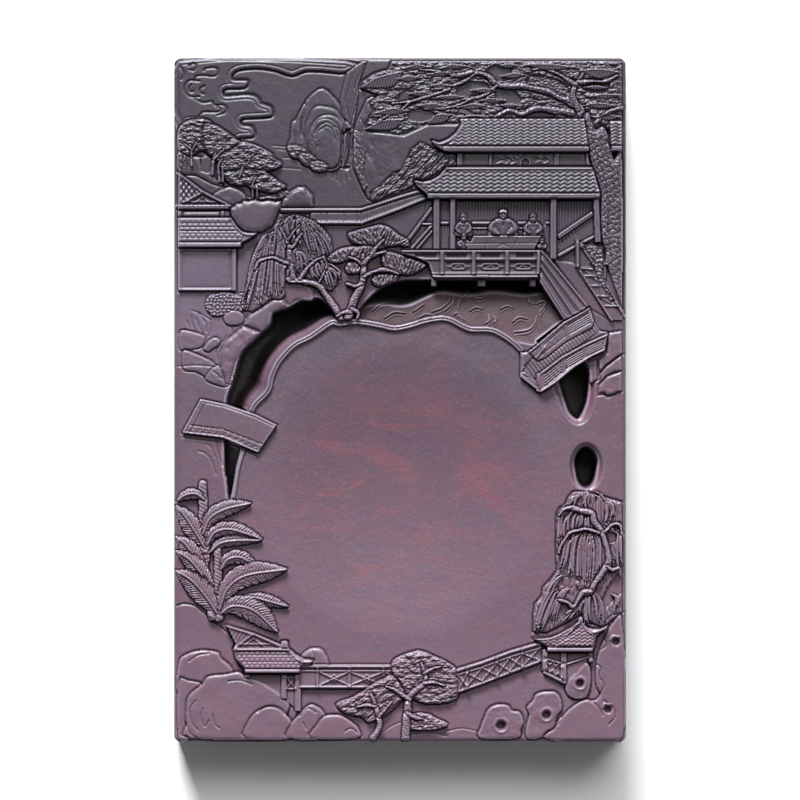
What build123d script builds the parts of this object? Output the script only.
from build123d import *
import math
import os

# A landscape ink stone: one slab with a sunken ink pool, a shallow grinding bed and deep
# holes at its sides, and a landscape carved in relief on the ground round them.
# Every carved form is a solid of its own, seated flat on the slab that it grows from.
# The stone lies on its underside, +Z is up and +Y points to the sky of the landscape.

# Driving dimensions of the slab, in millimetres
stone_length = 300
stone_width = 198
ground_height = 34
corner_radius = 3
shoulder_bevel = 1.2
foot_bevel = 1

# The slab's outline in the picture that the places were read from, in its pixels
outline_left, outline_right = 174, 626
outline_top, outline_bottom = 58, 742
middle_across = (outline_left + outline_right) / 2
middle_down = (outline_top + outline_bottom) / 2
across = stone_width / (outline_right - outline_left)
down = stone_length / (outline_bottom - outline_top)

# The planes that carvings stand on
ground = Plane.XY.offset(ground_height)
half_width = stone_width / 2


def at(pixel):
    """The point of the slab, seen from above, at a pixel of the picture."""
    return Vector((pixel[0] - middle_across) * across, (middle_down - pixel[1]) * down)


def turning_left(points):
    """The same corners, in the order that runs anticlockwise seen from above."""
    area = sum(a.X * b.Y - b.X * a.Y for a, b in zip(points, points[1:] + points[:1]))
    return points if area > 0 else points[::-1]


def straight_outline(pixels):
    """Draws a face with straight edges through these pixels."""
    with BuildLine() as edge:
        Polyline(*turning_left([at(pixel) for pixel in pixels]), close=True)
    make_face(edge.edges())


def hole_edge(pixels):
    """Draws a face with one smooth edge through these pixels, closed by a straight line."""
    with BuildLine() as edge:
        curve = Spline(*[at(pixel) for pixel in pixels])
        Line(curve @ 1, curve @ 0)
    make_face(edge.edges())


def banked_outline(first_bank, second_bank):
    """Draws the face between two smooth banks, closed by straight ends."""
    with BuildLine() as edge:
        first = Spline(*[at(pixel) for pixel in first_bank])
        second = Spline(*[at(pixel) for pixel in second_bank])
        Line(first @ 1, second @ 0)
        Line(second @ 1, first @ 0)
    make_face(edge.edges())


def lens_outline(start, top, end, under):
    """Draws a pad of needles or a leaf between two arcs."""
    with BuildLine() as edge:
        ThreePointArc(at(start), at(under), at(end))
        ThreePointArc(at(end), at(top), at(start))
    make_face(edge.edges())


def limb_outline(pixels, root_width, tip_width):
    """Draws a limb that follows a line of pixels, as many pixels wide as its root and tip say."""
    spine = [Vector(*pixel) for pixel in pixels]
    last = len(spine) - 1
    left_edge, right_edge = [], []
    for i, point in enumerate(spine):
        heading = (spine[min(i + 1, last)] - spine[max(i - 1, 0)]).normalized()
        half = (root_width + (tip_width - root_width) * i / last) / 2
        side = Vector(-heading.Y, heading.X) * half
        left_edge.append(point + side)
        right_edge.append(point - side)
    corners = [at((corner.X, corner.Y)) for corner in left_edge + right_edge[::-1]]
    with BuildLine() as edge:
        Polyline(*turning_left(corners), close=True)
    make_face(edge.edges())


def beam(start, end, width, height, base=0, sideways=0, mode=Mode.ADD):
    """Lays a straight bar between two pixels, at a height over the ground."""
    begin, finish = at(start), at(end)
    run = finish - begin
    side = Vector(-run.Y, run.X).normalized() * sideways
    middle = (begin + finish) * 0.5 + side
    turn = math.degrees(math.atan2(run.Y, run.X))
    with Locations(Location((middle.X, middle.Y, ground_height + base), (0, 0, turn))):
        Box(run.length, width, height, align=(Align.CENTER, Align.CENTER, Align.MIN), mode=mode)


def stepped_bank(start, end, first_rise, last_rise, count, lip):
    """Builds a bank of even courses from one pixel to another, wider than the slab."""
    begin, finish = at(start), at(end)
    run = (finish - begin).length
    along = (finish - begin).normalized()
    section = Plane(
        origin=(begin.X, begin.Y, ground_height), x_dir=along, z_dir=(along.Y, -along.X, 0)
    )
    climb = (last_rise - first_rise) / count
    points = [(0, 0)]
    for i in range(count):
        points.append((run * i / count, first_rise + climb * i - lip))
        points.append((run * (i + 1) / count, first_rise + climb * (i + 1)))
    points.append((run, 0))
    with BuildSketch(section) as courses:
        with BuildLine():
            Polyline(*points, close=True)
        make_face()
    extrude(courses.sketch, amount=stone_width, both=True)


def keep(part, name):
    """Labels a finished solid and writes it to its own file."""
    part.label = name
    export_step(part, f"parts/{name}.step")


os.makedirs("parts", exist_ok=True)

# Ink pool: the moat on the left runs under the slab bridge into a small hole, and the pool
# under the terrace runs beneath the stepped bridge into the pear-shaped hole
pool_depth = 20
ramp_foot = 7
lip_drop = 1
moat_bank_pixels = [
    (341, 319), (330, 306), (318, 298), (300, 301), (289, 307), (273, 314), (264, 333),
    (242.5, 350.5), (235, 370), (230.5, 386.5), (226, 402), (224.7, 438.4), (226, 476), (228.5, 499),
]
moat_lip_pixels = [
    (231, 499), (234.5, 477), (241.5, 448), (247, 428), (252, 404), (264.5, 389),
    (268.5, 375.5), (276.5, 359.5), (292, 343.5), (310, 334), (330, 322), (340.5, 319.6),
]
moat_ramp_start, moat_ramp_end = (262, 352), (287, 372)
moat_outlet_pixels = [
    (225.6, 404), (247, 408), (247, 428), (241.5, 448), (234.5, 477), (231, 499), (228.5, 499),
    (225.6, 476),
    (224.9, 438.4),
]
pool_bank_pixels = [(352, 318), (362, 305), (377.8, 290), (392, 283), (405, 279.5)]
pool_end_pixels = [(539, 279.5), (564, 319.5), (551, 331), (533, 345)]
pool_lip_pixels = [
    (512.9, 340), (502, 332.5), (489.9, 328), (471.5, 327), (460.8, 323.5), (451.6, 318),
    (441, 316.7), (425.6, 319), (410.3, 323.5), (394.6, 326.5), (379.3, 323.5), (366, 320.5),
    (353, 318.8),
]
pool_wall_line, pool_ramp_start = (465, 279.5), (465, 284)
pool_ramp_knee, pool_ramp_end = (465, 299), (465, 326)
channel_pixels = [(536, 341), (561, 322), (567, 324), (585, 362), (561, 380.5)]
pear_pixels = [
    (560.5, 379), (563.4, 397), (568, 412.4), (574, 418.5), (580, 417), (586.3, 400), (588.6, 377),
    (584.5, 361.5),
]
pear_rim_pixels = [
    (556, 384), (559, 404.7), (563.8, 417), (573, 424.6), (583.3, 424), (592.2, 412.4), (595, 395.5),
    (594, 358),
]
oval_middle = (585.7, 466)
oval_half_width, oval_half_length = 5.2, 9.4
oval_rim = 2.6
rim_drop = 2.5
hole_depth = 21

# Grinding bed: a shallow hollow, round in plan
bed_middle = (402, 491)
bed_radius = 61
bed_depth = 4.2
bed_ball = (bed_radius**2 + bed_depth**2) / (2 * bed_depth)
bed_clear_rise = 6

# Eyes drilled in the plain ground at the lower right
eye_pixels = [(617, 643.5), (607.9, 708.9), (608.5, 724)]
eye_radius = 2
eye_depth = 2.2
eye_clearance = 0.5
eye_clearing_height = 68

with BuildPart() as moat:
    with BuildSketch(ground):
        banked_outline(moat_bank_pixels, moat_lip_pixels)
    extrude(amount=-pool_depth)
    ramp_run = at(moat_ramp_end) - at(moat_ramp_start)
    ramp_way = ramp_run.normalized()
    ramp_section = Plane(
        origin=(at(moat_ramp_start).X, at(moat_ramp_start).Y, ground_height),
        x_dir=ramp_way,
        z_dir=(ramp_way.Y, -ramp_way.X, 0),
    )
    with BuildSketch(ramp_section):
        with BuildLine():
            Polyline(
                (-half_width, 0),
                (-half_width, -pool_depth),
                (0, -pool_depth),
                (ramp_run.length, -lip_drop),
                (half_width, -lip_drop),
                (half_width, 0),
                close=True,
            )
        make_face()
    extrude(amount=stone_length, both=True, mode=Mode.INTERSECT)

with BuildPart() as moat_outlet:
    with BuildSketch(ground):
        straight_outline(moat_outlet_pixels)
    extrude(amount=-pool_depth)

with BuildPart() as pool:
    with BuildSketch(ground):
        with BuildLine():
            bank = Spline(*[at(pixel) for pixel in pool_bank_pixels])
            far_end = Polyline(*[at(pixel) for pixel in pool_end_pixels])
            lip_line = Spline(*[at(pixel) for pixel in pool_lip_pixels])
            Line(bank @ 1, far_end @ 0)
            Line(far_end @ 1, lip_line @ 0)
            Line(lip_line @ 1, bank @ 0)
        make_face()
    extrude(amount=-pool_depth)
    with BuildSketch(Plane.YZ):
        with BuildLine():
            Polyline(
                (at(pool_wall_line).Y, ground_height),
                (at(pool_wall_line).Y, ground_height - pool_depth),
                (at(pool_ramp_start).Y, ground_height - pool_depth),
                (at(pool_ramp_knee).Y, ground_height - ramp_foot),
                (at(pool_ramp_end).Y, ground_height - lip_drop),
                (-stone_length, ground_height - lip_drop),
                (-stone_length, ground_height),
                close=True,
            )
        make_face()
    extrude(amount=stone_width, both=True, mode=Mode.INTERSECT)

with BuildPart() as pear_hole:
    with BuildSketch(ground):
        straight_outline(channel_pixels)
        hole_edge(pear_pixels)
    extrude(amount=-pool_depth)
    with BuildSketch(ground):
        hole_edge(pear_rim_pixels)
    with BuildSketch(ground.offset(-rim_drop)):
        hole_edge(pear_pixels)
    loft(ruled=True)

with BuildPart() as oval_hole:
    with BuildSketch(ground.offset(-hole_depth)):
        with Locations(at(oval_middle)):
            Ellipse(oval_half_width, oval_half_length)
    extrude(amount=hole_depth)
    with BuildSketch(ground):
        with Locations(at(oval_middle)):
            Ellipse(oval_half_width + oval_rim, oval_half_length + oval_rim)
    with BuildSketch(ground.offset(-rim_drop)):
        with Locations(at(oval_middle)):
            Ellipse(oval_half_width, oval_half_length)
    loft(ruled=True)

with BuildPart() as bed_hollow:
    half_way_depth = bed_ball - bed_depth - math.sqrt(bed_ball**2 - (bed_radius / 2) ** 2)
    hollow_section = Plane(
        origin=(at(bed_middle).X, at(bed_middle).Y, ground_height), x_dir=(1, 0, 0), z_dir=(0, -1, 0)
    )
    with BuildSketch(hollow_section):
        with BuildLine():
            ThreePointArc((0, -bed_depth), (bed_radius / 2, half_way_depth), (bed_radius, 0))
            Polyline((bed_radius, 0), (bed_radius, bed_clear_rise), (0, bed_clear_rise), (0, -bed_depth))
        make_face()
    revolve(axis=Axis((at(bed_middle).X, at(bed_middle).Y, 0), (0, 0, 1)))

with BuildPart() as stone_body:
    with BuildSketch():
        RectangleRounded(stone_width, stone_length, corner_radius)
    extrude(amount=ground_height)
    chamfer(stone_body.edges().group_by(Axis.Z)[0], length=foot_bevel)
    chamfer(stone_body.edges().group_by(Axis.Z)[-1], length=shoulder_bevel)
    for hollow in (bed_hollow, moat, moat_outlet, pool, pear_hole, oval_hole):
        add(hollow.part, mode=Mode.SUBTRACT)
    with Locations([(at(pixel).X, at(pixel).Y, ground_height) for pixel in eye_pixels]):
        Cylinder(eye_radius, 2 * eye_depth, mode=Mode.SUBTRACT)
keep(stone_body.part, "stone_body")

# Rim between the pool and the bed, and the short rim beside the small hole
lip_width = 4.6
lip_rise = 1.4
pool_rim_pixels = [
    (254, 406.5), (266.5, 390), (270.5, 376.5), (278.3, 360.5), (293.5, 345), (311, 335.7), (331, 324.3),
    (347, 321.5), (366, 322.5), (379.3, 325.3), (394.6, 328.3), (410.3, 325.3), (425.6, 320.8),
    (441, 318.4),
    (451.6, 319.8), (460.8, 325.3), (471.5, 328.9), (489.9, 329.8), (502, 334.4), (512.9, 342),
    (518.5, 349),
]
side_rim_pixels = [(246.5, 446), (243, 463), (239.5, 480), (236, 497)]

with BuildPart() as bed_lip:
    with BuildSketch(ground):
        limb_outline(pool_rim_pixels, lip_width, lip_width)
        limb_outline(side_rim_pixels, lip_width, lip_width)
    extrude(amount=lip_rise)
keep(bed_lip.part, "bed_lip")

# Slab bridge over the moat, with a band of fretwork along its near edge
slab_bridge_rise = 2.6
slab_bridge_edge = 0.5
fret_width = 6.8
fret_depth = 0.5
slab_bridge_pixels = [
    (201, 398.6), (226.2, 403), (255.3, 413.9), (276.7, 424.6), (258.4, 452), (244.6, 443),
    (223.2, 435.3), (183, 433),
]
fret_pixels = [(194, 428.5), (224, 431), (243, 438), (256, 446.5)]

with BuildPart() as left_slab_bridge:
    with BuildSketch(ground):
        straight_outline(slab_bridge_pixels)
    extrude(amount=slab_bridge_rise)
    chamfer(left_slab_bridge.faces().sort_by(Axis.Z)[-1].edges(), length=slab_bridge_edge)
    with BuildSketch(ground.offset(slab_bridge_rise - fret_depth)):
        limb_outline(fret_pixels, fret_width, fret_width)
    extrude(amount=2 * fret_depth, mode=Mode.SUBTRACT)
keep(left_slab_bridge.part, "left_slab_bridge")

# Stepped bridge: treads between two slotted parapets, over the mouth of the pear hole
deck_rise = 2.4
deck_foot_rise = 1.4
parapet_rise = 3.4
tread_count = 22
tread_lip = 0.7
slot_width = 0.6
slot_depth = 1.2
slot_pitch = 1.35
deck_pixels = [
    (524, 375.3), (542.3, 354.6), (565.5, 338.5), (585, 329.2), (594, 331), (602.5, 334.3),
    (581.3, 345), (560.5, 356.5), (540.8, 369), (540.4, 391.8),
]
deck_foot, deck_head = (519, 392), (606, 322)
upper_parapet_pixels = [
    (520.8, 352.7), (528.2, 352), (541.5, 342.5), (564.5, 322), (584, 311.3), (589.2, 308),
    (592.5, 328.5),
    (584.6, 328.2), (565.2, 337.6), (541.8, 353.8), (523.6, 374.6), (520.8, 372),
]
lower_parapet_pixels = [
    (541.7, 370), (560.8, 357.3), (581.5, 345.9), (603.4, 335.2), (606, 350.5), (591, 357),
    (574, 368), (556, 383.3), (541.5, 392),
]
upper_panel_pixels = [
    ((527, 365), (540, 349.5)), ((545, 345), (562.5, 330.5)), ((567.5, 328), (585, 317.5)),
]
lower_panel_pixels = [
    ((544.5, 381), (559.5, 366)), ((564, 362.5), (580.5, 352.5)), ((584.5, 350.5), (602.5, 343.5)),
]

with BuildPart() as bridge_deck:
    stepped_bank(deck_foot, deck_head, deck_foot_rise, deck_rise, tread_count, tread_lip)
    with BuildSketch(ground):
        straight_outline(deck_pixels)
    extrude(amount=parapet_rise, mode=Mode.INTERSECT)
keep(bridge_deck.part, "bridge_deck")

with BuildPart() as bridge_parapets:
    with BuildSketch(ground):
        straight_outline(upper_parapet_pixels)
        straight_outline(lower_parapet_pixels)
    extrude(amount=parapet_rise)
    for start, end in upper_panel_pixels + lower_panel_pixels:
        for turn in (-1, 0, 1):
            beam(
                start, end, slot_width, 2 * slot_depth,
                base=parapet_rise - slot_depth, sideways=turn * slot_pitch, mode=Mode.SUBTRACT,
            )
keep(bridge_parapets.part, "bridge_parapets")

# Great pine at the upper right: a trunk up the edge, limbs and flat pads of needles
pine_trunk_rise = 5.4
pine_limb_rise = 4.8
needle_rise = 4.2
limb_root, limb_tip = 9.2, 2.8
great_trunk_pixels = [
    (584.8, 127), (582.5, 117), (575.5, 104), (583, 99.5), (588, 108), (598, 127.5), (608, 117),
    (611.5, 122),
    (609.5, 139), (608, 146), (612.5, 158), (618, 170), (622.3, 180), (622.3, 311), (616, 300),
    (607, 284),
    (605.5, 272), (606.3, 260), (604.9, 247), (602, 238), (600.5, 226), (600.6, 208), (600, 194),
    (594, 170), (588, 151),
]
great_limb_pixels = [
    [(578, 106), (563.6, 98.5), (548.3, 92), (529, 87.5), (510, 86.5), (497, 84.5), (487, 75.5)],
    [(578, 102), (574, 93), (575.5, 84), (585, 80.5), (605, 81.3), (617, 76)],
    [(574.5, 84), (563, 77.5), (548.3, 70.5)],
    [(577, 112), (560, 111), (544, 108.3), (530, 109.5), (512, 110.5), (496, 116), (484, 123)],
]
needle_pad_pixels = [
    ((400, 69.5), (416, 64.7), (432, 67.5), (416, 73)),
    ((439, 69), (455, 63.8), (469.6, 66.5), (455, 72.5)),
    ((360.3, 87.5), (377, 73.5), (402, 73.5), (386, 92)),
    ((404, 80), (416, 75.8), (430, 78), (417, 86)),
    ((433, 76), (448, 73.6), (463, 76.5), (448, 81)),
    ((424, 87.5), (440, 83.3), (458, 86.5), (440, 93)),
    ((431.3, 99.5), (449, 95.2), (468, 97.5), (449, 103)),
    ((373.3, 114), (392, 107.5), (413, 111), (394, 117.5)),
    ((416, 106.5), (432, 104.5), (448, 106.5), (432, 112)),
    ((365.7, 129), (386, 119.5), (409, 120.5), (388, 133.5)),
    ((456.6, 107.5), (471, 102.8), (486, 106.5), (471, 113)),
    ((476, 99.5), (490, 96.5), (505, 99.5), (490, 105.5)),
    ((427.5, 124), (440, 114.5), (453, 117.5), (441, 125.5)),
    ((514, 66.5), (545, 62.6), (572, 67), (543, 68.4)),
    ((578, 70.5), (600, 66.8), (621.5, 72.5), (600, 78.6)),
    ((590, 96.5), (606, 92.8), (621.8, 95.5), (606, 100.5)),
    ((590, 105.5), (606, 102.6), (620.5, 106), (606, 112)),
    ((526.8, 122.5), (543, 118.4), (560, 120.3), (545, 125.5)),
    ((536.8, 130.5), (560, 126.8), (583, 131.5), (560, 137)),
]

with BuildPart() as great_pine_trunk:
    with BuildSketch(ground):
        straight_outline(great_trunk_pixels)
    extrude(amount=pine_trunk_rise)
keep(great_pine_trunk.part, "great_pine_trunk")

with BuildPart() as great_pine_limbs:
    with BuildSketch(ground):
        for limb in great_limb_pixels:
            limb_outline(limb, limb_root, limb_tip)
    extrude(amount=pine_limb_rise)
    add(great_pine_trunk.part, mode=Mode.SUBTRACT)
keep(great_pine_limbs.part, "great_pine_limbs")

with BuildPart() as great_pine_needles:
    with BuildSketch(ground):
        for pad in needle_pad_pixels:
            lens_outline(*pad)
    extrude(amount=needle_rise)
    add(great_pine_limbs.part, mode=Mode.SUBTRACT)
    add(great_pine_trunk.part, mode=Mode.SUBTRACT)
keep(great_pine_needles.part, "great_pine_needles")

# Hall of two storeys beside the pine: tiled roofs, walls, columns and a terrace
roof_rise = 6
upper_ridge_rise = 4
lower_ridge_rise = 4.2
tile_lip = 0.5
upper_courses = 7
lower_courses = 5
fascia_rise = 5.2
upper_wall_rise = 2.6
panel_depth = 0.6
arch_radius = 2
column_rise = 4
column_width = 2.2
hall_plate_rise = 0.8
bench_rise = 1.8
bench_width = 1.6
table_rise = 2.4
upper_roof_pixels = [
    (459.5, 120), (460.4, 125), (455, 133.5), (448, 139.5), (439.7, 143), (431.5, 140.8), (434, 145),
    (441, 149), (448, 152.5), (587.6, 152.5), (584.3, 141), (584.3, 128), (581, 120),
]
upper_roof_right_pixels = [(612, 124), (622, 124), (622, 152.5), (611.5, 152.5), (609.5, 146)]
upper_roof_head, upper_roof_foot = (520, 119.5), (520, 147)
upper_wall_pixels = [(456.6, 153.3), (588, 153.3), (592.5, 167.2), (456.6, 167.2)]
upper_panel_outlines = [
    [(463.5, 154.8), (488.5, 154.8), (488.5, 166), (463.5, 166)],
    [(493, 154.8), (551, 154.8), (551, 166), (493, 166)],
    [(560.5, 154.8), (585, 154.8), (588.3, 166), (560.5, 166)],
]
arch_pixel = (525.5, 162)
lower_roof_pixels = [
    (448.5, 168), (592.5, 168), (594, 172), (599, 194), (599, 199), (428.2, 199), (426.7, 194.5),
    (416, 186),
    (415.2, 180.6), (422.9, 182), (431.3, 180), (439, 175.5),
]
lower_roof_head, lower_roof_foot = (520, 167.5), (520, 193.8)
hall_plate_pixels = [
    (432, 200), (598.8, 200), (599.3, 226), (601, 238), (556.7, 262), (550.5, 254), (541.3, 249.6),
    (431, 249.6),
    (409, 249.6), (409, 239),
]
column_pixels = [
    ((436.3, 201), (436.3, 249)), ((452.2, 201), (452.2, 249)), ((553.6, 201), (553.6, 257)),
    ((596, 201), (597.5, 238)),
]
bench_pixels = [
    ((439, 224.5), (449.7, 224.5)), ((456, 224.5), (470, 224.5)), ((556.5, 237), (594.5, 213.5)),
    ((557, 256), (595, 235)), ((431, 209), (410, 239)), ((431, 226), (412.5, 248)),
]
table_pixels = [(474, 237), (541, 237), (533, 249.4), (467.5, 249.4)]

with BuildPart() as hall_upper_roof:
    stepped_bank(upper_roof_head, upper_roof_foot, upper_ridge_rise, roof_rise, upper_courses, tile_lip)
    with BuildSketch(ground):
        straight_outline(upper_roof_pixels)
        straight_outline(upper_roof_right_pixels)
    extrude(amount=roof_rise, mode=Mode.INTERSECT)
    add(great_pine_limbs.part, mode=Mode.SUBTRACT)
    add(great_pine_needles.part, mode=Mode.SUBTRACT)
    add(great_pine_trunk.part, mode=Mode.SUBTRACT)
keep(hall_upper_roof.part, "hall_upper_roof")

with BuildPart() as hall_upper_wall:
    with BuildSketch(ground):
        straight_outline(upper_wall_pixels)
    extrude(amount=upper_wall_rise)
    with BuildSketch(ground.offset(upper_wall_rise)):
        for panel in upper_panel_outlines:
            straight_outline(panel)
    extrude(amount=-panel_depth, mode=Mode.SUBTRACT)
    with Locations((at(arch_pixel).X, at(arch_pixel).Y, ground_height + upper_wall_rise - panel_depth)):
        Cylinder(arch_radius, panel_depth, align=(Align.CENTER, Align.CENTER, Align.MIN))
keep(hall_upper_wall.part, "hall_upper_wall")

with BuildPart() as hall_lower_roof:
    stepped_bank(lower_roof_head, lower_roof_foot, lower_ridge_rise, roof_rise, lower_courses, tile_lip)
    with BuildSketch(ground):
        straight_outline(lower_roof_pixels)
    extrude(amount=roof_rise, mode=Mode.INTERSECT)
    add(great_pine_trunk.part, mode=Mode.SUBTRACT)
keep(hall_lower_roof.part, "hall_lower_roof")

# Things in the hall: the wall behind the bays, columns, rails, a long table and three scholars
scholar_rise = 3.4
head_rise = 4
head_radius = 1.9
scholar_pixels = [
    [(493, 236), (494.6, 225), (499, 217.5), (506, 217.5), (511.4, 223), (517.5, 236)],
    [(456.6, 236), (457, 225), (460, 221.8), (466, 221.8), (469, 226), (470, 236)],
    [(527, 236), (527, 226), (530, 222), (536, 222), (542, 228), (544.6, 236)],
]
head_pixels = [(502.5, 212.6), (463, 217.2), (533, 217.4)]

with BuildPart() as hall_back_wall:
    with BuildSketch(ground):
        straight_outline(hall_plate_pixels)
    extrude(amount=hall_plate_rise)
keep(hall_back_wall.part, "hall_back_wall")

with BuildPart() as hall_columns:
    for foot, head in column_pixels:
        beam(foot, head, column_width, column_rise - hall_plate_rise, base=hall_plate_rise)
keep(hall_columns.part, "hall_columns")

with BuildPart() as hall_table:
    with BuildSketch(ground.offset(hall_plate_rise)):
        straight_outline(table_pixels)
    extrude(amount=table_rise - hall_plate_rise)
keep(hall_table.part, "hall_table")

with BuildPart() as scholars:
    with BuildSketch(ground.offset(hall_plate_rise)):
        for robe in scholar_pixels:
            straight_outline(robe)
    extrude(amount=scholar_rise - hall_plate_rise)
    for head in head_pixels:
        with Locations((at(head).X, at(head).Y, ground_height + hall_plate_rise)):
            standing = (Align.CENTER, Align.CENTER, Align.MIN)
            Cylinder(head_radius, head_rise - hall_plate_rise, align=standing)
keep(scholars.part, "scholars")

with BuildPart() as hall_rails:
    for start, end in bench_pixels:
        beam(start, end, bench_width, bench_rise, base=hall_plate_rise)
    add(hall_columns.part, mode=Mode.SUBTRACT)
    add(scholars.part, mode=Mode.SUBTRACT)
keep(hall_rails.part, "hall_rails")

# Terrace in front of the hall: balustrades with sunk panels, and posts down into the pool
rail_rise = 4.4
panel_sink = 1
rail_slot_width = 1.8
post_pixels = [(434, 2.3), (481.5, 3.8), (532.8, 3)]
post_back_line, post_foot_line, post_knee_line = 279.6, 284, 293
terrace_pixels = [
    (402.5, 250.8), (540.3, 250.8), (537.5, 278.4), (433.5, 278.4), (429, 263), (418, 257.5),
    (402.5, 254),
]
terrace_panel_pixels = [((446.5, 267), (470, 267)), ((476.8, 267), (504, 267)), ((510, 267), (532, 267))]
terrace_slot_pixels = [
    ((416, 255.3), (436, 255.3)), ((447, 255.3), (465, 255.3)), ((482, 255.3), (498, 255.3)),
    ((517, 255.3), (532, 255.3)),
]
terrace_panel_width = 4.6
side_terrace_pixels = [
    (541.6, 250.8), (551.8, 262.8), (587.5, 306.2), (583.3, 310), (564, 320), (539.8, 282.5),
]
side_panel_pixels = [((548, 264), (578.5, 306)), ((543.3, 274), (566.5, 311.5))]
side_panel_width = 2.2
stair_pixels = [
    (575.8, 243), (580.5, 243), (591, 263.5), (603, 282), (613, 300), (622.5, 313), (622.5, 320),
    (610.5, 320.3), (592.5, 292), (575.5, 264),
]
stair_slot_pixels = [((584, 268.5), (613.5, 314.5))]
stair_slot_width = 3

with BuildPart() as terrace_balustrade:
    with BuildSketch(ground):
        straight_outline(terrace_pixels)
    extrude(amount=rail_rise)
    for start, end in terrace_slot_pixels:
        beam(start, end, rail_slot_width, rail_rise, base=rail_rise - panel_sink, mode=Mode.SUBTRACT)
    for start, end in terrace_panel_pixels:
        beam(start, end, terrace_panel_width, rail_rise, base=rail_rise - panel_sink, mode=Mode.SUBTRACT)
keep(terrace_balustrade.part, "terrace_balustrade")

with BuildPart() as side_balustrade:
    with BuildSketch(ground):
        straight_outline(side_terrace_pixels)
    extrude(amount=rail_rise)
    for start, end in side_panel_pixels:
        beam(start, end, side_panel_width, rail_rise, base=rail_rise - panel_sink, mode=Mode.SUBTRACT)
    add(bridge_parapets.part, mode=Mode.SUBTRACT)
keep(side_balustrade.part, "side_balustrade")

with BuildPart() as stair_rail:
    with BuildSketch(ground):
        straight_outline(stair_pixels)
    extrude(amount=rail_rise)
    for start, end in stair_slot_pixels:
        beam(start, end, stair_slot_width, rail_rise, base=rail_rise - panel_sink, mode=Mode.SUBTRACT)
    add(great_pine_trunk.part, mode=Mode.SUBTRACT)
    add(hall_back_wall.part, mode=Mode.SUBTRACT)
    add(hall_rails.part, mode=Mode.SUBTRACT)
keep(stair_rail.part, "stair_rail")

with BuildPart() as terrace_posts:
    for column, half in post_pixels:
        with BuildSketch(Plane.YZ.offset((column - middle_across) * across)) as post:
            with BuildLine():
                Polyline(
                    (at((column, post_back_line)).Y, ground_height - pool_depth),
                    (at((column, post_foot_line)).Y, ground_height - pool_depth),
                    (at((column, post_knee_line)).Y, ground_height - pool_depth / 2),
                    (at((column, post_back_line)).Y, ground_height - slot_depth),
                    close=True,
                )
            make_face()
        extrude(post.sketch, amount=half * across, both=True)
keep(terrace_posts.part, "terrace_posts")

# Far scenery at the top: clouds, a stepped peak, a waterfall and a cliff
cloud_rise = 1.2
peak_rise = 1.4
peak_layer_rise = 1
waterfall_rise = 0.8
cliff_rise = 2
cloud_pixels = [
    (179, 62), (345, 62), (345, 73.4), (322, 71.5), (305, 71.5), (292, 76), (277, 71.4), (262, 68.8),
    (239, 70.3), (231.6, 77.2), (246.5, 82), (243.4, 88.7), (223, 91), (223.6, 95.5), (246.5, 95.2),
    (259.5, 101), (261, 104), (270.2, 107), (272.5, 112.4), (269.5, 117), (246.5, 118.5), (240.4, 123.9),
    (251, 127), (254, 135), (239, 138.4), (236.5, 140), (233, 135.5), (225, 130.5), (215, 124),
    (203, 117),
    (188, 117), (179, 121.5),
]
peak_pixels = [
    (300, 111.6), (305, 104), (308.3, 97), (322.8, 88.7), (338, 104.7), (340.5, 118), (344.5, 121.5),
    (350, 128.5), (342.5, 134), (339.4, 166), (326, 171), (306, 160), (288, 147), (290, 139), (292, 124),
    (298.4, 119.3),
]
peak_layer_pixels = [
    (309, 122), (316, 108), (334, 110), (339.5, 120), (342, 130), (338, 158), (326, 164), (311, 156),
    (308, 138),
]
waterfall_pixels = [
    (363.5, 62.5), (366, 66), (357.5, 85.6), (358, 93.3), (354.8, 116), (353.5, 127.5), (352.3, 140),
    (350, 165),
    (341, 167), (344, 135), (351.5, 129), (346.5, 121.8), (342, 117), (341, 101), (347, 73.4),
]
cliff_pixels = [
    (356, 125), (362, 114.7), (365.5, 104), (371.8, 97), (390, 98), (406, 103), (414, 115), (412, 140),
    (404, 165),
    (392, 172), (383, 181), (371, 190), (360.5, 183.4), (355.5, 169.6), (361, 140.7),
]

with BuildPart() as cloud_bank:
    with BuildSketch(ground):
        straight_outline(cloud_pixels)
    extrude(amount=cloud_rise)
keep(cloud_bank.part, "cloud_bank")

with BuildPart() as waterfall:
    with BuildSketch(ground):
        straight_outline(waterfall_pixels)
    extrude(amount=waterfall_rise)
keep(waterfall.part, "waterfall")

with BuildPart() as far_peak:
    with BuildSketch(ground):
        straight_outline(peak_pixels)
    extrude(amount=peak_rise)
    with BuildSketch(ground.offset(peak_rise)):
        straight_outline(peak_layer_pixels)
    extrude(amount=peak_layer_rise)
    add(waterfall.part, mode=Mode.SUBTRACT)
keep(far_peak.part, "far_peak")

with BuildPart() as right_cliff:
    with BuildSketch(ground):
        straight_outline(cliff_pixels)
    extrude(amount=cliff_rise)
    add(great_pine_needles.part, mode=Mode.SUBTRACT)
    add(great_pine_limbs.part, mode=Mode.SUBTRACT)
keep(right_cliff.part, "right_cliff")

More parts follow.
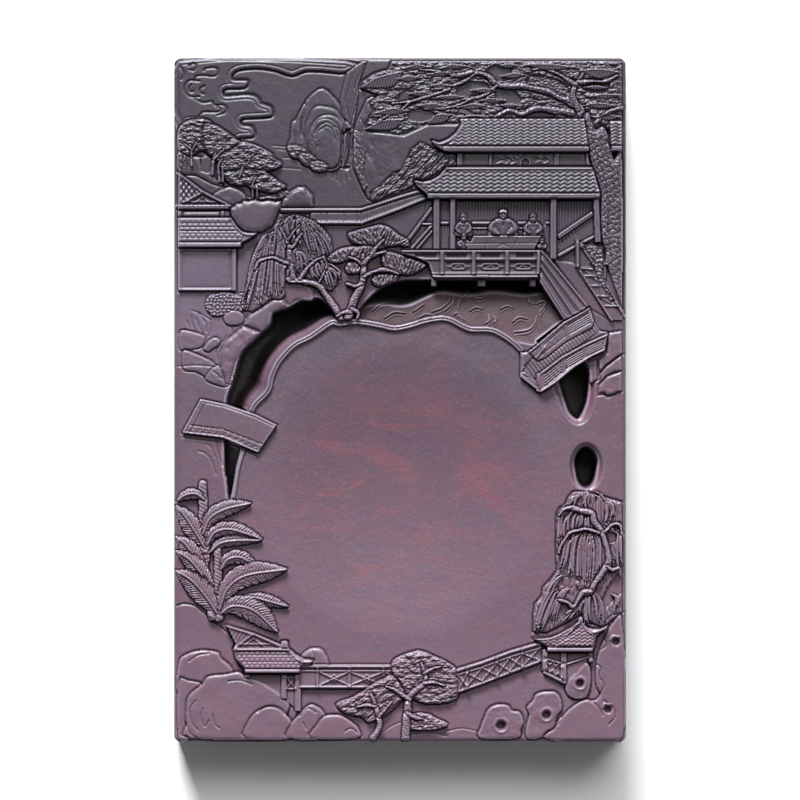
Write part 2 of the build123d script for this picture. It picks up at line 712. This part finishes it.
# Left bank: a far grove, rocks, a house of three courses of roof, and the long gallery
grove_rise = 2.8
trunk_stub_rise = 1.8
bank_rock_rise = 2
gable_rise = 2.2
house_ridge_rise = 3
house_eave_rise = 4.4
house_wall_rise = 1.6
house_courses = 6
house_beam_width = 1.4
house_beam_rise = 1
gallery_wall_rise = 1.2
gallery_rail_rise = 2.2
gallery_rail_width = 1.2
bush_rise = 2.4
grove_pixels = [
    (179, 126), (188, 119.6), (203, 119.6), (215.5, 126.5), (226, 132.7), (234, 138), (237, 143),
    (250.7, 144),
    (261.4, 148), (272, 154), (273.7, 160), (281, 163.3), (280.6, 167), (268, 172), (281, 183),
    (286, 188), (276, 193),
    (263, 192), (251, 188), (246, 186), (232, 185), (225, 180), (219, 166), (215, 157), (209, 155),
    (200, 151),
    (191, 156), (179, 148),
]
grove_trunk_pixels = [
    [(192, 165), (191, 155.5)], [(213, 172), (214, 157.5)], [(219.4, 181), (218.8, 168)],
    [(253, 197), (253, 190)], [(257, 198.5), (257, 191.5)],
]
grove_trunk_width = 2.3
horizon_rock_pixels = [
    (283, 199.4), (290, 191.8), (298.4, 187.6), (305.2, 187.6), (312.9, 195.6), (313.7, 207.6),
    (283, 207.6),
]
round_rock_pixels = [
    (231.8, 208), (236.6, 204.8), (243.4, 201.7), (254, 200.2), (269.5, 201), (280, 201.7),
    (280.4, 207.8), (277, 214),
    (271.8, 226), (261.8, 231.6), (254, 232), (244, 231), (238, 224.5), (233, 217.5),
]
gable_pixels = [(179, 173.5), (203, 191.8), (231, 206.8), (231, 209.4), (179, 209.4)]
house_roof_pixels = [
    (179, 218.5), (231, 218.5), (236.6, 226), (242.7, 232.3), (251, 233.5), (258, 233), (254, 236.5),
    (246.5, 240.8), (242, 243), (241, 247.6), (179, 247.6),
]
house_roof_head, house_roof_foot = (205, 218.2), (205, 243)
house_wall_pixels = [(179, 210.2), (231, 210.2), (231, 217.7), (179, 217.7)]
house_room_pixels = [(179, 248.4), (236.6, 248.4), (236.6, 291), (179, 291)]
house_beam_pixels = [
    ((181, 251), (228, 251)), ((181, 288), (228, 288)), ((181, 253), (181, 286)),
    ((228, 250), (228, 289)), ((233.4, 250), (233.4, 290)),
]
gallery_pixels = [
    (282, 208.4), (360.3, 208.4), (370.8, 205), (400, 197), (420, 191), (420.6, 199), (400, 209.6),
    (362.6, 224.5), (314, 224.5), (314, 213), (282, 212.5),
]
gallery_rail_pixels = [
    ((283, 210.2), (360.5, 210.2)), ((361, 210), (419.5, 193)), ((315, 222.8), (362, 222.8)),
    ((362.3, 222.6), (419.6, 199.6)),
]
left_bush_pixels = [
    (207, 300), (214, 294), (226, 292.6), (238, 296), (244.6, 304), (240, 311), (226, 314), (213, 315.6),
    (206.7, 309),
]
bank_rock_outlines = [
    [(192, 317.5), (206, 316.5), (213, 323), (211, 335), (201, 338), (190, 334)],
    [(226, 317.5), (234, 313.5), (242.5, 315), (242, 321), (236, 325), (228, 323)],
    [(204, 343), (216, 338.5), (220, 342), (217, 349), (214, 358), (205, 356), (196, 351)],
    [(184, 352), (196, 356), (211, 362), (216, 372), (204, 378), (186, 374)],
]
slope_rock_pixels = [(186, 440), (199, 439), (212, 450), (217, 466), (214, 476), (203, 473), (190, 460)]

with BuildPart() as pine_grove:
    with BuildSketch(ground):
        straight_outline(grove_pixels)
    extrude(amount=grove_rise)
    with BuildSketch(ground):
        for trunk in grove_trunk_pixels:
            limb_outline(trunk, grove_trunk_width, grove_trunk_width)
    extrude(amount=trunk_stub_rise)
keep(pine_grove.part, "pine_grove")

with BuildPart() as horizon_rock:
    with BuildSketch(ground):
        straight_outline(horizon_rock_pixels)
    extrude(amount=bank_rock_rise)
keep(horizon_rock.part, "horizon_rock")

with BuildPart() as round_rock:
    with BuildSketch(ground):
        straight_outline(round_rock_pixels)
    extrude(amount=bank_rock_rise)
keep(round_rock.part, "round_rock")

with BuildPart() as left_house_gable:
    with BuildSketch(ground):
        straight_outline(gable_pixels)
    extrude(amount=gable_rise)
keep(left_house_gable.part, "left_house_gable")

with BuildPart() as left_house_roof:
    slope = house_roof_head, house_roof_foot, house_ridge_rise, house_eave_rise
    stepped_bank(*slope, house_courses, tile_lip)
    with BuildSketch(ground):
        straight_outline(house_roof_pixels)
    extrude(amount=house_eave_rise, mode=Mode.INTERSECT)
keep(left_house_roof.part, "left_house_roof")

with BuildPart() as left_house_wall:
    with BuildSketch(ground):
        straight_outline(house_wall_pixels)
        straight_outline(house_room_pixels)
    extrude(amount=house_wall_rise)
    for start, end in house_beam_pixels:
        beam(start, end, house_beam_width, house_beam_rise, base=house_wall_rise)
keep(left_house_wall.part, "left_house_wall")

with BuildPart() as gallery_wall:
    with BuildSketch(ground):
        straight_outline(gallery_pixels)
    extrude(amount=gallery_wall_rise)
    for start, end in gallery_rail_pixels:
        beam(start, end, gallery_rail_width, gallery_rail_rise - gallery_wall_rise, base=gallery_wall_rise)
    add(hall_back_wall.part, mode=Mode.SUBTRACT)
    add(hall_rails.part, mode=Mode.SUBTRACT)
keep(gallery_wall.part, "gallery_wall")

with BuildPart() as bank_rocks:
    with BuildSketch(ground):
        for rock in bank_rock_outlines:
            straight_outline(rock)
        straight_outline(slope_rock_pixels)
    extrude(amount=bank_rock_rise)
    with BuildSketch(ground):
        straight_outline(left_bush_pixels)
    extrude(amount=bush_rise)
    add(left_house_wall.part, mode=Mode.SUBTRACT)
keep(bank_rocks.part, "bank_rocks")

# Trees round the pool: a willow, a low pine with flat pads, and bushes
small_trunk_rise = 3
willow_rise = 2.6
pad_rise = 3.6
shrub_rise = 3.4
willow_limb_pixels = [
    [(344, 315), (329.5, 298), (315, 287), (302, 281.5), (292, 277.5), (290.5, 262), (290.7, 247.5)],
    [(294, 276.5), (304, 271), (311, 265.5), (317, 261), (323, 259.5)],
]
willow_root, willow_tip = 6.4, 3.2
willow_leaf_outlines = [
    [
        (262, 234), (257, 242), (250, 251), (247, 266), (242, 282), (240, 299), (246, 309), (256, 300),
        (262, 280), (270, 255), (275, 240), (270, 234),
    ],
    [
        (279, 236), (274, 255), (268, 275), (263, 294), (268, 303), (278, 296), (284.5, 279),
        (286.5, 257), (285.5, 238),
    ],
    [
        (297, 222), (310, 217), (322, 224), (327, 236), (326, 250), (317, 255), (308, 262), (301, 267),
        (297.5, 262), (296, 246),
    ],
]
pool_pine_limb_pixels = [
    [(347, 316.5), (356, 303.7), (365.5, 288.4), (368.6, 277.7), (366, 271), (365, 262)],
    [(366, 272), (375.6, 270.6), (383, 268), (397, 271)],
    [(366, 266), (372.5, 254), (384, 247), (391, 241)],
]
pool_pine_root, pool_pine_tip = 8.2, 3
pool_pine_pads = [
    ((347.3, 238), (372, 224.8), (399, 240), (370, 246)),
    ((330, 262), (351, 246), (374, 251.5), (352, 260)),
    ((346, 268), (354, 262.5), (363, 267), (354, 274)),
    ((372, 264), (398, 254.8), (426.5, 266), (398, 274.5)),
    ((371, 280), (386, 274.6), (399, 278), (384, 286.5)),
]
hall_shrub_pixels = [
    (370.5, 200), (370, 193), (380, 187), (386, 180), (394, 173), (402, 170), (411, 150), (420, 143),
    (430, 146.5),
    (440, 152.5), (455.8, 155), (455.8, 166.5), (445, 167.5), (437, 173.5), (430, 178), (421, 180),
    (413.5, 179.5),
    (413, 186), (400, 192.5), (385, 198), (373, 202.5),
]
corner_bush_pixels = [
    (584, 246.4), (602.4, 246.4), (604, 262), (602.6, 272), (606, 286), (615, 301), (611, 302),
    (597, 278), (594, 264),
]

with BuildPart() as willow_trunk:
    with BuildSketch(ground):
        for limb in willow_limb_pixels:
            limb_outline(limb, willow_root, willow_tip)
    extrude(amount=small_trunk_rise)
keep(willow_trunk.part, "willow_trunk")

with BuildPart() as willow_leaves:
    with BuildSketch(ground):
        for bundle in willow_leaf_outlines:
            straight_outline(bundle)
    extrude(amount=willow_rise)
    add(willow_trunk.part, mode=Mode.SUBTRACT)
    add(gallery_wall.part, mode=Mode.SUBTRACT)
    add(left_house_roof.part, mode=Mode.SUBTRACT)
    add(bank_rocks.part, mode=Mode.SUBTRACT)
    add(moat.part, mode=Mode.SUBTRACT)
keep(willow_leaves.part, "willow_leaves")

with BuildPart() as pool_pine_trunk:
    with BuildSketch(ground):
        for limb in pool_pine_limb_pixels:
            limb_outline(limb, pool_pine_root, pool_pine_tip)
    extrude(amount=small_trunk_rise)
    add(willow_trunk.part, mode=Mode.SUBTRACT)
keep(pool_pine_trunk.part, "pool_pine_trunk")

with BuildPart() as pool_pine_needles:
    with BuildSketch(ground):
        for pad in pool_pine_pads:
            lens_outline(*pad)
    extrude(amount=pad_rise)
    add(pool_pine_trunk.part, mode=Mode.SUBTRACT)
    add(gallery_wall.part, mode=Mode.SUBTRACT)
keep(pool_pine_needles.part, "pool_pine_needles")

with BuildPart() as hall_shrub:
    with BuildSketch(ground):
        straight_outline(hall_shrub_pixels)
    extrude(amount=shrub_rise)
    add(hall_lower_roof.part, mode=Mode.SUBTRACT)
    add(hall_upper_roof.part, mode=Mode.SUBTRACT)
    add(gallery_wall.part, mode=Mode.SUBTRACT)
    add(right_cliff.part, mode=Mode.SUBTRACT)
keep(hall_shrub.part, "hall_shrub")

with BuildPart() as corner_bush:
    with BuildSketch(ground):
        straight_outline(corner_bush_pixels)
    extrude(amount=bush_rise)
    add(stair_rail.part, mode=Mode.SUBTRACT)
    add(great_pine_trunk.part, mode=Mode.SUBTRACT)
    add(hall_back_wall.part, mode=Mode.SUBTRACT)
keep(corner_bush.part, "corner_bush")

# Banana plant at the lower left: upright stems and broad leaves with a notch in them
stem_rise = 2.6
leaf_rise = 3.2
stem_width_top, stem_width_foot = 7.8, 9.6
banana_stem_pixels = [[(203, 530), (203, 505), (203.3, 482)], [(218.5, 606), (218.5, 580), (218.5, 548)]]
banana_leaf_outlines = [
    [(201, 531), (192, 515), (179, 504.5), (179, 526), (190, 530), (200, 534)],
    [(200, 536), (188, 531.5), (179, 530), (179, 541), (188, 542), (199, 540)],
    [
        (208.3, 518.4), (218, 509.5), (231.2, 504.6), (250.3, 503.8), (240.4, 513.8), (235, 519.9),
        (219, 518.5),
    ],
    [(207.5, 543), (209.5, 533), (228, 526.8), (239, 528.3), (260, 536), (236, 535.6), (219, 540)],
    [
        (208.5, 551.8), (219, 542.3), (235, 537.7), (261, 539), (250.3, 543), (246.5, 547.4),
        (237.3, 548.2), (235.8, 552), (223.6, 552.8),
    ],
    [(179, 548), (190, 550), (204, 562), (212.8, 580), (206, 577), (198, 570), (188, 568), (179, 561)],
    [
        (179, 572), (188, 574), (202, 584), (211, 600), (212.8, 611), (206.7, 605.6), (195.2, 603.3),
        (193.7, 598.7), (188.4, 595), (179, 581),
    ],
    [(224.5, 559), (235, 553.6), (246.5, 556.6), (255.7, 564), (240, 567), (226, 569)],
    [
        (224, 601), (227, 583), (242.7, 570.5), (261.8, 568.5), (284, 567.2), (277, 575), (268.7, 577.3),
        (265, 585.7), (250.3, 591), (240, 594),
    ],
    [(238, 597), (251, 592.6), (269.5, 598.7), (286, 604.8), (274.8, 609), (266.4, 607.5), (255, 599.5)],
    [
        (221, 612.6), (226, 605), (239, 600.5), (253, 601.8), (264, 609.4), (270, 620), (276, 629.5),
        (263.9, 627.6), (247.9, 621.2), (235.2, 614.8),
    ],
]

with BuildPart() as banana_stems:
    with BuildSketch(ground):
        for stem in banana_stem_pixels:
            limb_outline(stem, stem_width_foot, stem_width_top)
    extrude(amount=stem_rise)
keep(banana_stems.part, "banana_stems")

with BuildPart() as banana_leaves:
    with BuildSketch(ground):
        for leaf in banana_leaf_outlines:
            straight_outline(leaf)
    extrude(amount=leaf_rise)
    add(banana_stems.part, mode=Mode.SUBTRACT)
    add(bed_hollow.part, mode=Mode.SUBTRACT)
keep(banana_leaves.part, "banana_leaves")

# Lower bank: a pavilion behind rocks, a raised gallery, boulders and a low pine
pavilion_ridge_rise = 3.4
pavilion_eave_rise = 4.6
pavilion_courses = 4
post_rise = 2.4
post_width = 1.8
lower_gallery_rise = 1.2
lower_rail_rise = 2.6
lower_rail_width = 1.1
lower_brace_width = 0.7
boulder_rise = 3
lower_roof_outline_pixels = [
    (226.5, 625), (253.7, 633.6), (281, 645.5), (287.6, 649), (295.3, 655.2), (313, 660.6),
    (304.5, 667.5),
    (303, 672), (245, 672), (244.5, 667), (235.4, 659), (235.4, 645.5), (246, 636.5),
]
lower_roof_ridge, lower_roof_eave = (270, 640), (270, 668.5)
lower_post_pixels = [((284, 672.8), (284, 697)), ((298, 672.8), (298, 709))]
lower_back_rock_pixels = [
    (307.5, 656.7), (311, 649.5), (321.3, 648.4), (326, 654.5), (328.2, 660.6), (327.4, 664),
    (307.6, 664), (315.5, 660.5),
]
lower_gallery_outline_pixels = [
    (303.5, 664.8), (384.8, 664.8), (384.8, 671), (366.5, 687.5), (303.5, 687.5),
]
lower_gallery_rail_pixels = [
    ((304, 666.6), (384.5, 666.6)), ((302.5, 685.8), (366.5, 685.8)), ((304, 671.6), (380, 671.6)),
]
lower_gallery_brace_pixels = [
    ((321, 683.6), (347.5, 673)), ((321, 673), (347.5, 683.6)), ((351, 683.6), (368, 676)),
    ((351, 673), (368, 681)),
]
lower_gallery_post_pixels = [((317.5, 667.5), (317.5, 685)), ((349.2, 667.5), (349.2, 685))]
rising_gallery_outline_pixels = [
    (456.8, 669.6), (482, 660.5), (510, 650.4), (540, 641.7), (541.5, 661), (510, 673), (484, 682.5),
    (457.8, 692.5),
]
rising_rail_pixels = [((457, 671.5), (540.3, 643.8)), ((458, 690.6), (541.3, 659.4))]
rising_brace_pixels = [
    ((469.5, 685), (494.5, 661)), ((469.5, 669.5), (494.5, 675)), ((499, 673), (521, 652)),
    ((499, 659.5), (521, 664.5)),
]
rising_post_pixels = [
    ((467.3, 668), (467.3, 687)), ((496.8, 658.5), (496.8, 676)), ((522.6, 650.5), (522.6, 666.5)),
]
boulder_outlines = [
    [
        (179, 661.5), (184.4, 654.3), (200.3, 649.5), (217.8, 651.9), (220.2, 656.7), (230.5, 666),
        (229.5, 671), (208.3, 674.6), (199, 682), (188.5, 692.6), (179, 694),
    ],
    [
        (187.8, 698.5), (190.4, 694.8), (202.8, 684.6), (209.3, 676.8), (225.8, 675.2), (231.8, 672.9),
        (238.6, 672.9), (246.5, 676.8), (257.7, 678.4), (265.7, 684), (273.7, 688.8), (280.6, 694.8),
        (287.5, 704.5), (278, 711.5), (258, 718), (240, 727), (230, 736), (191, 736), (187, 724),
        (188, 712),
    ],
    [
        (290.5, 705.5), (297, 711.3), (303, 711.8), (311.4, 704.5), (322.8, 711), (322, 716),
        (317, 722.5), (310, 733), (309, 737.5), (233, 737.5), (243, 729.5), (260, 721), (281, 713),
    ],
    [
        (319.3, 722.8), (321.3, 719), (329, 715.2), (341.2, 716), (352.7, 722.8), (357.8, 729),
        (355.8, 737.5), (312, 737.5), (313, 732),
    ],
]
lower_pine_limb_pixels = [
    [
        (399, 738), (402, 724), (407, 711), (409, 698), (414, 691.5), (424.6, 685), (425.5, 675),
        (422.8, 667),
    ],
    [(409, 700), (402.5, 696), (397, 690)],
    [(376, 738), (379.2, 725), (378.2, 716.5), (375.5, 706)],
]
lower_pine_root, lower_pine_tip = 7.3, 3
lower_pine_outlines = [
    [
        (336.5, 701.6), (352.7, 697), (361, 691.2), (371.8, 682.8), (381.8, 678.2), (390, 676),
        (397, 684), (394, 693), (386, 700), (381, 707), (368, 720.5), (360.3, 715.2), (348.9, 712.6),
        (337.5, 706.4),
    ],
    [
        (393, 661), (397, 657.2), (409.9, 652.6), (425.2, 651.8), (432.8, 655.4), (449.7, 663),
        (454.8, 669), (455.5, 680), (446, 684), (433, 680), (420, 676), (404, 677), (394, 672),
    ],
    [
        (417, 699.4), (423, 691.5), (433, 687), (447, 688.5), (456, 693.5), (455.5, 697.4),
        (443.6, 700.6), (435.9, 702),
    ],
    [
        (407.5, 719), (416.8, 713.4), (428.3, 715), (435.9, 719.4), (445, 723), (443, 725.4),
        (428.3, 727.5), (413, 727.5), (408, 724),
    ],
]

with BuildPart() as lower_house_roof:
    slope = lower_roof_ridge, lower_roof_eave, pavilion_ridge_rise, pavilion_eave_rise
    stepped_bank(*slope, pavilion_courses, tile_lip)
    with BuildSketch(ground):
        straight_outline(lower_roof_outline_pixels)
    extrude(amount=pavilion_eave_rise, mode=Mode.INTERSECT)
    with BuildSketch(ground):
        straight_outline(lower_roof_outline_pixels)
    extrude(amount=pavilion_ridge_rise)
keep(lower_house_roof.part, "lower_house_roof")

with BuildPart() as lower_house_posts:
    for foot, head in lower_post_pixels:
        beam(foot, head, post_width, post_rise)
keep(lower_house_posts.part, "lower_house_posts")

with BuildPart() as boulders:
    with BuildSketch(ground):
        for rock in boulder_outlines:
            straight_outline(rock)
        straight_outline(lower_back_rock_pixels)
    extrude(amount=boulder_rise)
    add(lower_house_roof.part, mode=Mode.SUBTRACT)
    add(lower_house_posts.part, mode=Mode.SUBTRACT)
keep(boulders.part, "boulders")

with BuildPart() as lower_pine_trunk:
    with BuildSketch(ground):
        for limb in lower_pine_limb_pixels:
            limb_outline(limb, lower_pine_root, lower_pine_tip)
    extrude(amount=small_trunk_rise)
keep(lower_pine_trunk.part, "lower_pine_trunk")

with BuildPart() as lower_pine_needles:
    with BuildSketch(ground):
        for crown in lower_pine_outlines:
            straight_outline(crown)
    extrude(amount=pad_rise)
    add(lower_pine_trunk.part, mode=Mode.SUBTRACT)
keep(lower_pine_needles.part, "lower_pine_needles")

with BuildPart() as lower_gallery:
    with BuildSketch(ground):
        straight_outline(lower_gallery_outline_pixels)
        straight_outline(rising_gallery_outline_pixels)
    extrude(amount=lower_gallery_rise)
    rail_height = lower_rail_rise - lower_gallery_rise
    level_rails = lower_gallery_rail_pixels + lower_gallery_post_pixels
    for start, end in level_rails + rising_rail_pixels + rising_post_pixels:
        beam(start, end, lower_rail_width, rail_height, base=lower_gallery_rise)
    for start, end in lower_gallery_brace_pixels + rising_brace_pixels:
        beam(start, end, lower_brace_width, rail_height / 2, base=lower_gallery_rise)
    add(lower_pine_needles.part, mode=Mode.SUBTRACT)
    add(lower_house_posts.part, mode=Mode.SUBTRACT)
    add(lower_house_roof.part, mode=Mode.SUBTRACT)
    add(boulders.part, mode=Mode.SUBTRACT)
keep(lower_gallery.part, "lower_gallery")

# Lower right: an open pavilion under a pointed roof, pierced garden rocks and a weeping tree
point_roof_ridge_rise = 3.4
point_roof_eave_rise = 4.6
weeping_rise = 3.2
weeping_trunk_rise = 4
hexagonal_roof_pixels = [
    (580.4, 620), (588.5, 627.5), (592.9, 629), (607.8, 625), (599.5, 631.2), (597, 632.4),
    (593.7, 650.4),
    (547.3, 650.4), (547.3, 645.7), (533.2, 637), (552, 635), (568, 629),
]
hexagonal_roof_head, hexagonal_roof_foot = (572, 620), (572, 646.5)
hexagonal_post_pixels = [((544.8, 651.6), (544.8, 671)), ((563.4, 651.6), (563.4, 681))]
hexagonal_wall_pixels = [(566.5, 651.6), (592.5, 651.6), (578, 660.5), (573, 668), (566.5, 680)]
hexagonal_rail_pixels = [((547.5, 670.2), (561.3, 680)), ((547.5, 661), (561.3, 668))]
hexagonal_rail_width = 1
garden_rock_outlines = [
    [
        (480.5, 722), (482.8, 716.5), (489.5, 711.1), (498.6, 705.7), (505, 707), (515, 715.4),
        (520.5, 719.5), (520, 728), (516, 737.5), (482, 737.5),
    ],
    [
        (522.6, 719), (526, 717.5), (529.5, 707.9), (533.2, 698.6), (549.8, 692.8), (553, 693.8),
        (557.4, 700.4), (558.8, 711.2), (551, 723.4), (547, 731), (545, 737.5), (519, 737.5), (522, 728),
    ],
    [
        (561.2, 708.6), (573, 702.8), (586, 701), (597, 704.5), (603, 712), (602, 722), (606, 730),
        (612, 737.5), (552, 737.5), (560.4, 720),
    ],
    [
        (566.3, 683.4), (568, 677.2), (574.6, 674.6), (577.4, 667), (581.6, 662.2), (590.4, 665.4),
        (591.6, 673.9), (590, 690.2), (597.6, 703.2), (587, 699.6), (573, 701), (564.5, 704), (560, 696),
        (556.5, 690),
    ],
    [
        (593.5, 662.5), (600.6, 652), (612, 650.4), (621, 655), (621.6, 704), (611, 701.5),
        (600.3, 703.3), (593, 688.8), (593.6, 675),
    ],
]
rock_hole_pixels = [(501, 724.9), (545, 712.5), (579.6, 683)]
rock_hole_radius = 2.4
rock_hole_depth = 4
weeping_trunk_outlines = [
    [
        (600, 533.2), (604, 528.4), (609, 534), (614.5, 546), (617, 558), (616, 571), (611, 581),
        (605, 590.5), (594, 597.5), (583.7, 596.6), (583.7, 593), (591.2, 593.4), (599.5, 588),
        (603.6, 578.8), (607, 570.5), (608.6, 558), (607, 546.4),
    ],
]
weeping_limb_pixels = [[(604.5, 531), (597, 524.5), (591, 516), (581, 511.5), (572, 508.5)]]
weeping_leaf_outlines = [
    [
        (558, 512.5), (563.8, 506.6), (571, 505), (571, 494), (582, 491.6), (596, 494.5), (609.3, 499.6),
        (621.6, 503), (621.6, 520), (615, 521), (607, 525.4), (597, 519.6), (594.6, 512), (580, 508.4),
        (571.4, 511), (571, 527), (565, 534), (559.8, 548), (558, 568),
    ],
    [
        (563, 549.8), (567.5, 538), (575.5, 531.6), (586, 531), (593, 535.5), (600.5, 545), (603, 557),
        (601.5, 569), (597, 580), (589, 586.5), (579, 588.5), (570.5, 584), (565, 574),
    ],
    [
        (556.6, 574.8), (561, 580), (568, 589.5), (578, 597), (583, 602), (581, 611), (578.5, 618),
        (567, 627), (551, 633.5), (534.2, 635), (534.2, 630), (535.8, 603.6), (543.3, 595.4), (544, 588),
    ],
    [
        (585.6, 601.5), (597, 600), (608, 592), (616, 580), (621.6, 571), (621.6, 613), (611, 621),
        (603.5, 624.5), (590.5, 626.5), (583.5, 619),
    ],
    [(612.5, 534.5), (616, 526.4), (621.6, 529.5), (621.6, 566), (619, 564), (619.5, 555), (617, 544)],
]

with BuildPart() as hexagonal_roof:
    stepped_bank(
        hexagonal_roof_head, hexagonal_roof_foot, point_roof_ridge_rise, point_roof_eave_rise,
        pavilion_courses, tile_lip,
    )
    with BuildSketch(ground):
        straight_outline(hexagonal_roof_pixels)
    extrude(amount=point_roof_eave_rise, mode=Mode.INTERSECT)
    with BuildSketch(ground):
        straight_outline(hexagonal_roof_pixels)
    extrude(amount=point_roof_ridge_rise)
keep(hexagonal_roof.part, "hexagonal_roof")

with BuildPart() as garden_rocks:
    with BuildSketch(ground):
        for rock in garden_rock_outlines:
            straight_outline(rock)
    extrude(amount=boulder_rise)
    for pixel in rock_hole_pixels:
        with Locations((at(pixel).X, at(pixel).Y, ground_height + boulder_rise)):
            Cylinder(rock_hole_radius, rock_hole_depth, mode=Mode.SUBTRACT)
    for pixel in eye_pixels:
        with Locations((at(pixel).X, at(pixel).Y, ground_height)):
            Cylinder(eye_radius + eye_clearance, eye_clearing_height, mode=Mode.SUBTRACT)
keep(garden_rocks.part, "garden_rocks")

with BuildPart() as hexagonal_posts:
    with BuildSketch(ground):
        straight_outline(hexagonal_wall_pixels)
    extrude(amount=lower_gallery_rise)
    for foot, head in hexagonal_post_pixels:
        beam(foot, head, post_width, post_rise)
    for start, end in hexagonal_rail_pixels:
        beam(start, end, hexagonal_rail_width, post_rise - tile_lip)
    add(garden_rocks.part, mode=Mode.SUBTRACT)
keep(hexagonal_posts.part, "hexagonal_posts")

with BuildPart() as drooping_tree_trunk:
    with BuildSketch(ground):
        for trunk in weeping_trunk_outlines:
            straight_outline(trunk)
        for limb in weeping_limb_pixels:
            limb_outline(limb, lower_pine_root, lower_pine_tip)
    extrude(amount=weeping_trunk_rise)
keep(drooping_tree_trunk.part, "drooping_tree_trunk")

with BuildPart() as drooping_tree_leaves:
    with BuildSketch(ground):
        for mass in weeping_leaf_outlines:
            straight_outline(mass)
    extrude(amount=weeping_rise)
    add(drooping_tree_trunk.part, mode=Mode.SUBTRACT)
    add(hexagonal_roof.part, mode=Mode.SUBTRACT)
    add(bed_hollow.part, mode=Mode.SUBTRACT)
keep(drooping_tree_leaves.part, "drooping_tree_leaves")
